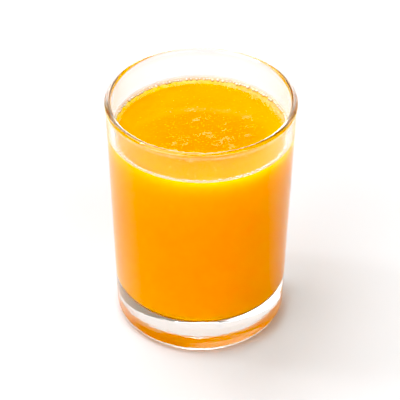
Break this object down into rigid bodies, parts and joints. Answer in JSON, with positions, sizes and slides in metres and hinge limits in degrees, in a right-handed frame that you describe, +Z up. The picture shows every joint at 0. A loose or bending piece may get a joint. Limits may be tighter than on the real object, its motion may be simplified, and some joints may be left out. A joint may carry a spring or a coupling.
{
  "type": "glass of orange juice",
  "caption": "Round, slightly tapered clear tumbler with a heavy base and a round lip, filled nearly to the rim with orange juice.",
  "frame": {"origin": "middle of the circle the glass stands on, at table height", "axes": "+Z up along the axis of the tumbler; the shape is round, so +X and +Y are any two level directions"},
  "size_m": [0.07, 0.07, 0.0952],
  "materials": {
    "clear_glass": "clear, smooth",
    "juice": "cloudy liquid, wet surface"
  },
  "bodies": {
    "root": {"tumbler": "clear_glass", "orange_juice": "juice"}
  },
  "joints": []
}
